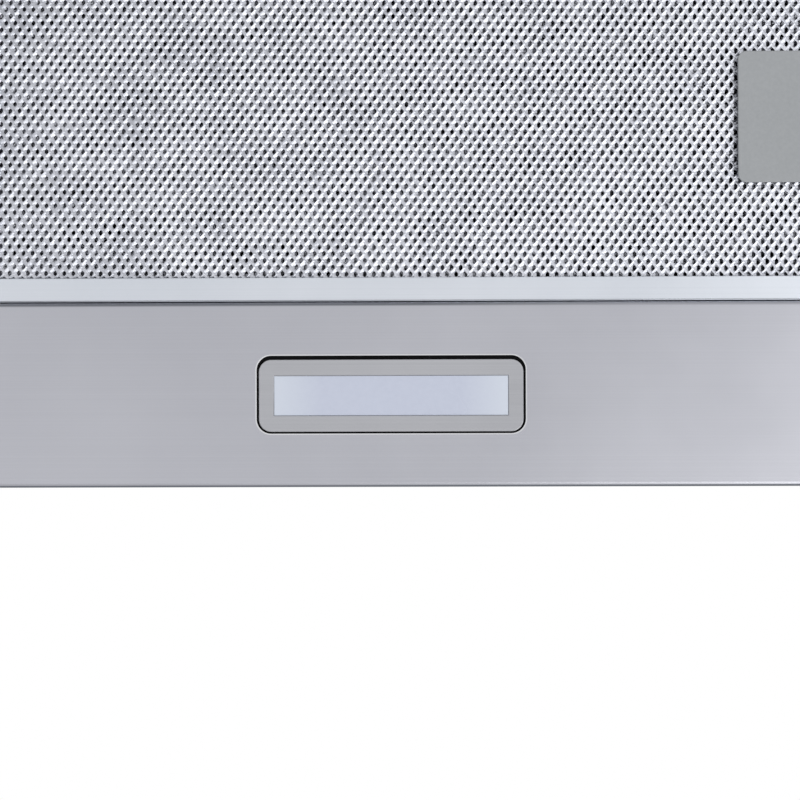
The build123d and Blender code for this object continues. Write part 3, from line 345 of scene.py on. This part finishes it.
def soften(obj, width):
    """Small rounds on a CAD node's real edges."""
    tidy = obj.modifiers.new("real_edges", "NODES")
    tidy.node_group = real_edges
    flat = obj.modifiers.new("whole_faces", "DECIMATE")
    flat.decimate_type = "DISSOLVE"
    flat.angle_limit = FLAT_ANGLE
    bevel = obj.modifiers.new("edge_round", "BEVEL")
    bevel.limit_method = "ANGLE"
    bevel.angle_limit = BEVEL_ANGLE
    bevel.width = width
    bevel.segments = 2
    bevel.use_clamp_overlap = True
    normals = obj.modifiers.new("even_faces", "WEIGHTED_NORMAL")
    normals.mode = "FACE_AREA"
    normals.keep_sharp = True


edge_rounds = {  # by width in mm
    0.2: (
        "lamp_bezel_left", "lamp_bezel_right", "front_rail", "fascia", "side_panel_left",
        "side_panel_right", "motor_box_wrap", "motor_box_end_left", "motor_box_end_right",
    ),
    0.3: ("filter_frame", "visor_filter_frame", "latch_plate", "latch_slider", "microswitch"),
    0.34: ("lamp_panel",),
    0.35: ("control_bezel",),
    0.4: (
        "button_off", "button_speed_1", "button_speed_2", "button_speed_3", "button_light",
        "terminal_cover", "duct_spigot", "switch_block",
    ),
    0.5: (
        "terminal_box", "motor_stack", "cable_grommet", "lamp_housing_left", "lamp_housing_right",
    ),
    0.8: ("led_driver", "motor_shield_inner", "motor_shield_outer"),
    1.0: ("capacitor",),
}
for width, names in edge_rounds.items():
    for name in names:
        soften(nodes[name], width * MM)


# Pieces made here
def piece(name, points, faces, material, body):
    """A mesh piece in the row frame that rides on a body."""
    mesh = bpy.data.meshes.new(name)
    mesh.from_pydata(points, [], faces)
    mesh.materials.append(material)
    mesh.shade_smooth()
    mesh.update()
    obj = bpy.data.objects.new(name, mesh)
    scene.collection.objects.link(obj)
    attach(obj, body)
    return obj


TURN_MARGIN = 12  # mm of grid beyond the sheet, so that a turned grid still covers it
STRAND_TILT, TILT_SPREAD = 28.0, 5.0  # degrees
WIDTH_SPREAD = 0.06  # share of a strand's width
STRAND_BULGE = 0.16  # mm
STATIONS = ((-0.02, 0.75), (0.5, 1.0), (1.02, 0.75))  # places along a strand, with their share of its tilt
KNOT_WIDE, KNOT_LONG, KNOT_DROP = 0.66, 0.68, 0.04  # shares of width and bond, and mm


def expanded_layer(
    box, level, pitch, turn, seed, shift=(0.0, 0.0), width=1.32, rounded=False, side=None, bond=0.75
):
    """One sheet of expanded metal: (points, faces) in metres. box is x0, x1, y0, y1 and pitch is the
    mesh's short and long way, all in mm. Each strand is a leaning strip; side keeps one range of x."""
    x0, x1, y0, y1 = box
    short, long = pitch
    rand = np.random.RandomState(seed)
    reach_x, reach_y = (x1 - x0) / 2 + TURN_MARGIN, (y1 - y0) / 2 + TURN_MARGIN
    columns, rows = int(reach_x / short) + 2, int(reach_y / long) + 2
    grid_i, grid_j = np.meshgrid(np.arange(-columns, columns + 1), np.arange(-rows, rows + 1), indexing="ij")
    grid_i, grid_j = grid_i.ravel(), grid_j.ravel()
    # knots: one set at whole places, one set half a mesh further both ways
    knots = np.concatenate(
        [
            np.stack([grid_i * short, grid_j * long], 1),
            np.stack([(grid_i + 0.5) * short, (grid_j + 0.5) * long], 1),
        ]
    )
    cross = (-0.5, 0.0, 0.5) if rounded else (-0.5, 0.5)
    w = len(cross)
    quads = []
    for i in range(len(STATIONS) - 1):
        for k in range(w - 1):
            quads.append([i * w + k, i * w + k + 1, (i + 1) * w + k + 1, (i + 1) * w + k])
    quads = np.array(quads)
    points, faces = [], []
    count = 0
    c, s = math.cos(math.radians(turn)), math.sin(math.radians(turn))
    middle = np.array([(x0 + x1) / 2 + shift[0], (y0 + y1) / 2 + shift[1]])

    def put(p):
        """Local points turned and set in place."""
        q = p.copy()
        q[..., 0] = c * p[..., 0] - s * p[..., 1] + middle[0]
        q[..., 1] = s * p[..., 0] + c * p[..., 1] + middle[1]
        q[..., 2] = p[..., 2] + level
        return q

    def inside(mid):
        """Which of these local points lie on the sheet."""
        x = c * mid[:, 0] - s * mid[:, 1] + middle[0]
        y = s * mid[:, 0] + c * mid[:, 1] + middle[1]
        keep = (x > x0) & (x < x1) & (y > y0) & (y < y1)
        if side is not None:
            keep &= (x > side[0]) & (x <= side[1])
        return keep

    for side_x in (-1, 1):
        # a strand from a knot's rear end to the front end of the next knot
        a = knots + np.array([0.0, bond / 2])
        b = knots + np.array([side_x * short / 2, long / 2 - bond / 2])
        keep = inside((a + b) / 2)
        a, b = a[keep], b[keep]
        n = len(a)
        along = (b - a) / np.linalg.norm(b - a, axis=1)[:, None]
        flat = np.stack([along[:, 1], -along[:, 0]], 1)
        # flat points to the strand's right side, which leans up into the hood
        lean = np.radians(STRAND_TILT + rand.normal(0, TILT_SPREAD, n))
        wide = width * (1 + rand.normal(0, WIDTH_SPREAD, n))
        grid = np.zeros((n, len(STATIONS), w, 3))
        for i, (t, share) in enumerate(STATIONS):
            centre = a + (b - a) * t
            for k, u in enumerate(cross):
                reach = u * wide
                grid[:, i, k, :2] = centre + flat * (reach * np.cos(lean * share))[:, None]
                grid[:, i, k, 2] = reach * np.sin(lean * share) - (STRAND_BULGE if u == 0.0 else 0.0)
        grid = put(grid)
        base = count + np.arange(n)[:, None] * (len(STATIONS) * w)
        faces.append((base[:, :, None] + quads[None]).reshape(-1, 4))
        points.append(grid.reshape(-1, 3))
        count += n * len(STATIONS) * w
    # the knots' own small plates
    keep = inside(knots)
    k = knots[keep]
    n = len(k)
    plate = np.zeros((n, 4, 3))
    for i, (u, v) in enumerate(((-1, -1), (1, -1), (1, 1), (-1, 1))):
        plate[:, i, 0] = k[:, 0] + u * width * KNOT_WIDE
        plate[:, i, 1] = k[:, 1] + v * bond * KNOT_LONG
        plate[:, i, 2] = -KNOT_DROP
    plate = put(plate)
    base = count + np.arange(n)[:, None] * 4
    faces.append(base + np.arange(4)[None])
    points.append(plate.reshape(-1, 3))
    return np.concatenate(points) * MM, np.concatenate(faces)


def box_mm(name):
    """A CAD node's box in mm: x0, x1, y0, y1, z0, z1."""
    low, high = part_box(name)
    return [v / MM for v in (low.x, high.x, low.y, high.y, low.z, high.z)]


def mesh_piece(name, material, body, *layer, **settings):
    """One expanded sheet as a piece on a filter's body."""
    points, faces = expanded_layer(*layer, **settings)
    return piece(name, points.tolist(), faces.tolist(), material, body)


SHEET_GAP = 0.3  # mm between a sheet and the sides of its mesh box


def sheet_area(box):
    """The part of a filter's mesh box that its sheets fill."""
    return box[0] + SHEET_GAP, box[1] - SHEET_GAP, box[2] + SHEET_GAP, box[3] - SHEET_GAP


FRONT_PITCH, INNER_PITCH, VISOR_INNER_PITCH = (2.9276, 4.352), (3.3, 4.9), (3.6, 5.4)
FRONT_LEVEL = 1.1  # mm above the lowest sheet's underside
FAR = 1e9
sheet = box_mm("filter_mesh")
area, base = sheet_area(sheet), sheet[4]
for name, part, seed in (("left", (-FAR, 0.0), 11), ("right", (0.0, FAR), 12)):
    mesh_piece(
        f"filter_layer_front_{name}", strand_metal, "grease_filter", area, base + FRONT_LEVEL, FRONT_PITCH,
        0.35, seed, rounded=True, side=part,
    )
for name, level, turn, seed, shift in (
    ("middle", 3.2, -8.0, 21, (0.9, 0.6)),
    ("rear", 5.3, 13.0, 31, (0.2, 1.6)),
):
    mesh_piece(
        f"filter_layer_{name}", inner_strand, "grease_filter", area, base + level, INNER_PITCH, turn, seed,
        shift=shift,
    )
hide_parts("filter_mesh")

sheet = box_mm("visor_filter_mesh")
area, base = sheet_area(sheet), sheet[4]
visor_front = mesh_piece(
    "visor_filter_layer_front", strand_metal, "visor", area, base + FRONT_LEVEL, FRONT_PITCH, -0.3, 41
)
mesh_piece(
    "visor_filter_layer_rear", inner_strand, "visor", area, base + 4.6, VISOR_INNER_PITCH, 9.0, 51,
    width=1.5, bond=1.1,
)
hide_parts("visor_filter_mesh")


HEAD_SIDES = 24  # twice the corners of the cross recess


def screw_heads(name, places, body, radius=3.2, height=1.9):
    """Pan heads with a cross recess, standing up on the given places; each place is x, y, z in mm."""
    arm, slot = radius * 0.55, radius * 0.15
    corners = []
    for c, s in ((1, 0), (0, 1), (-1, 0), (0, -1)):
        for x, y in ((arm, slot), (slot, slot), (slot, arm)):
            corners.append((c * x - s * y, s * x + c * y))
    cross = []
    for k, corner in enumerate(corners):
        following = corners[(k + 1) % len(corners)]
        cross += [corner, ((corner[0] + following[0]) / 2, (corner[1] + following[1]) / 2)]
    rings = [[(x * 0.7, y * 0.7, height * 0.35) for x, y in cross], [(x, y, height) for x, y in cross]]
    for share, z in ((0.62, 0.97), (0.84, 0.80), (0.96, 0.45), (1.0, 0.0)):
        ring = []
        for k in range(HEAD_SIDES):
            angle = math.tau * (k + 1) / HEAD_SIDES
            ring.append((radius * share * math.cos(angle), radius * share * math.sin(angle), height * z))
        rings.append(ring)
    points, faces = [], []
    for x, y, z in places:
        base = len(points)
        points += [((x + u) * MM, (y + v) * MM, (z + w) * MM) for ring in rings for u, v, w in ring]
        faces.append(tuple(base + k for k in range(HEAD_SIDES)))
        for level in range(len(rings) - 1):
            for k in range(HEAD_SIDES):
                a = base + level * HEAD_SIDES + k
                b = base + level * HEAD_SIDES + (k + 1) % HEAD_SIDES
                faces.append((a, a + HEAD_SIDES, b + HEAD_SIDES, b))
    heads = piece(name, points, faces, screw_metal, body)
    heads.data.set_sharp_from_angle(angle=math.radians(35))


SPIGOT_FLANGE, BOX_FLANGE = 1.6, 0.8  # thicknesses in mm, as all sizes of the screws' places
BOLT_CIRCLE = 66.5
BOX_SCREW_INSET, DECK_SCREW_INSET = 5.2, 8.0
BOX_SCREWS_Y, DECK_SCREWS_Y = (-75.0, -10.0, 60.0, 124.0), (-84.0, 50.0, 132.0)
spigot = box_mm("duct_spigot")
spigot_x, spigot_y = (spigot[0] + spigot[1]) / 2, (spigot[2] + spigot[3]) / 2
box_end = box_mm("motor_box_end_right")
deck = box_mm("deck_plate")
places = [
    (spigot_x + BOLT_CIRCLE * math.cos(a), spigot_y + BOLT_CIRCLE * math.sin(a), spigot[4] + SPIGOT_FLANGE)
    for a in (math.radians(degrees) for degrees in (45, 135, 225, 315))
]
for x_sign in (-1, 1):
    places += [(x_sign * (box_end[1] - BOX_SCREW_INSET), y, deck[5] + BOX_FLANGE) for y in BOX_SCREWS_Y]
    places += [(x_sign * (deck[1] - DECK_SCREW_INSET), y, deck[5]) for y in DECK_SCREWS_Y]
screw_heads("body_screws", places, "chassis")


def spring_ribbon(box, wire=0.5, legs=4, bend_steps=8):
    """The latch's flat serpentine spring, with round bends, in its box: (points, faces) in metres."""
    reach_x, y0, y1 = box[1] - wire / 2, box[2] + wire / 2, box[3] - wire / 2
    pitch_y = (y1 - y0) / legs
    bend = pitch_y / 2
    path = [(0.0, y0)]
    for leg in range(legs):
        side = 1 if leg % 2 else -1
        for step in range(bend_steps + 1):
            angle = math.pi * (step / bend_steps - 0.5)
            x = side * (reach_x - bend + bend * math.cos(angle))
            path.append((x, y0 + bend * (2 * leg + 1 + math.sin(angle))))
    path.append((0.0, y1))
    path = np.array(path)
    ahead = np.gradient(path, axis=0)
    ahead /= np.linalg.norm(ahead, axis=1)[:, None]
    across = np.stack([-ahead[:, 1], ahead[:, 0]], 1) * wire / 2
    points, faces = [], []
    for middle, off in zip(path, across, strict=True):
        for sign, z in ((1, box[4]), (-1, box[4]), (-1, box[5]), (1, box[5])):
            x, y = middle + sign * off
            points.append((x * MM, y * MM, z * MM))
    for k in range(len(path) - 1):
        for c in range(4):
            a, b = k * 4 + c, k * 4 + (c + 1) % 4
            faces.append((a, b, b + 4, a + 4))
    last = len(points)
    faces += [(3, 2, 1, 0), (last - 4, last - 3, last - 2, last - 1)]
    return points, faces


spring = box_mm("latch_spring")
points, faces = spring_ribbon(spring)
spring_piece = piece("latch_spring_ribbon", points, faces, screw_metal, "grease_filter")
spring_piece.data.set_sharp_from_angle(angle=math.radians(40))
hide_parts("latch_spring")
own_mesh(spring_piece)


def edge_bead(half_wide, y, z, reach=0.27, height=0.6, sides=6):
    """A half-round bead along x, standing out towards +Y: (points, faces) in metres."""
    points, faces = [], []
    for x in (-half_wide, half_wide):
        for k in range(sides + 1):
            angle = math.pi * (k / sides - 0.5)
            out, up = reach * math.cos(angle), height / 2 * math.sin(angle)
            points.append((x * MM, (y + out) * MM, (z + up) * MM))
    for k in range(sides):
        faces.append((k, k + sides + 1, k + sides + 2, k + 1))
    faces.append(tuple(range(sides + 1)))
    faces.append(tuple(range(2 * sides + 1, sides, -1)))
    return points, faces


BEAD_END_GAP, BEAD_SEAT, BEAD_LIFT = 1.5, 0.01, 0.75
filter_box = box_mm("filter_frame")
points, faces = edge_bead(filter_box[1] - BEAD_END_GAP, filter_box[3] - BEAD_SEAT, filter_box[4] + BEAD_LIFT)
bead = piece("filter_edge_bead", points, faces, aluminium, "grease_filter")
bead.data.set_sharp_from_angle(angle=math.radians(50))


# Floor, light and camera
def plane(name, half, height, material):
    """A level square that belongs to the stage."""
    mesh = bpy.data.meshes.new(name)
    mesh.from_pydata(
        [(-half, -half, height), (half, -half, height), (half, half, height), (-half, half, height)],
        [],
        [(0, 1, 2, 3)],
    )
    mesh.materials.append(material)
    obj = bpy.data.objects.new(name, mesh)
    scene.collection.objects.link(obj)


floor_paint = plastic("pale_floor", (0.84, 0.845, 0.865), (0.86, 0.865, 0.885), (0.7, 0.8), 300.0)
plane("floor", half=60.0, height=-2.6, material=floor_paint)

world = bpy.data.worlds.new("studio")
scene.world = world
world.use_nodes = True
sky = world.node_tree.nodes["Background"]
sky_on_part, sky_behind = 0.665, 1.0
seen = add(world.node_tree, "ShaderNodeLightPath").outputs["Is Camera Ray"]
strength = ramp(world.node_tree, seen, sky_on_part, sky_behind, 0.0, 1.0)
world.node_tree.links.new(strength, sky.inputs["Strength"])
sky.inputs["Color"].default_value = (1.0, 1.0, 1.0, 1)


BEAM = math.radians(110)


def area_light(name, place, target, size, power):
    """A soft box at a place, facing a target; it doesn't show in the picture."""
    data = bpy.data.lights.new(name, "AREA")
    data.shape = "RECTANGLE"
    data.size, data.size_y = size
    data.energy = power
    data.spread = BEAM
    obj = bpy.data.objects.new(name, data)
    obj.location = place
    direction = Vector(target) - Vector(place)
    obj.rotation_mode = "QUATERNION"
    obj.rotation_quaternion = direction.to_track_quat("-Z", "Y")
    obj.visible_camera = False
    scene.collection.objects.link(obj)


area_light("key_above", (1.4, -1.8, 2.3), (0, 0, 0.1), (2.4, 1.8), 11.0)
area_light("glint_rear", (0.42, 0.72, -0.56), (-0.14, 0.05, 0.0), (0.7, 0.5), 0.5)
area_light("glint_right", (0.75, -0.45, -0.85), (0.0, 0.05, 0.0), (0.7, 0.7), 0.5)
area_light("low_right", (0.75, 0.6, -1.25), (0.0, 0.1, 0.0), (1.2, 1.2), 2.4)
area_light("low_left", (-0.62, 0.3, -1.15), (-0.2, 0.1, 0.0), (0.4, 0.7), 0.085)

camera_data = bpy.data.cameras.new("photo_camera")
camera = bpy.data.objects.new("photo_camera", camera_data)
scene.collection.objects.link(camera)
camera_data.sensor_width = 36.0
camera_data.lens = 90.0
camera_data.clip_start = 0.02
camera_data.clip_end = 50.0
# fitted to the edges of the lamp, the strip and the latch plate
target = Vector((-137.166, 117.191, 0.0)) * MM
distance = 638.75 * MM
rx, ry, rz = (math.radians(a) for a in (0.235, -0.729, 0.167))
turn = Matrix.Rotation(rz, 3, "Z") @ Matrix.Rotation(ry, 3, "Y") @ Matrix.Rotation(rx, 3, "X")
right, down, ahead = turn.col[0], turn.col[1], turn.col[2]
place = target - ahead * distance
camera.matrix_world = Matrix(
    (
        (right.x, -down.x, -ahead.x, place.x),
        (right.y, -down.y, -ahead.y, place.y),
        (right.z, -down.z, -ahead.z, place.z),
        (0, 0, 0, 1),
    )
)
scene.camera = camera
scene.view_settings.view_transform = "Standard"
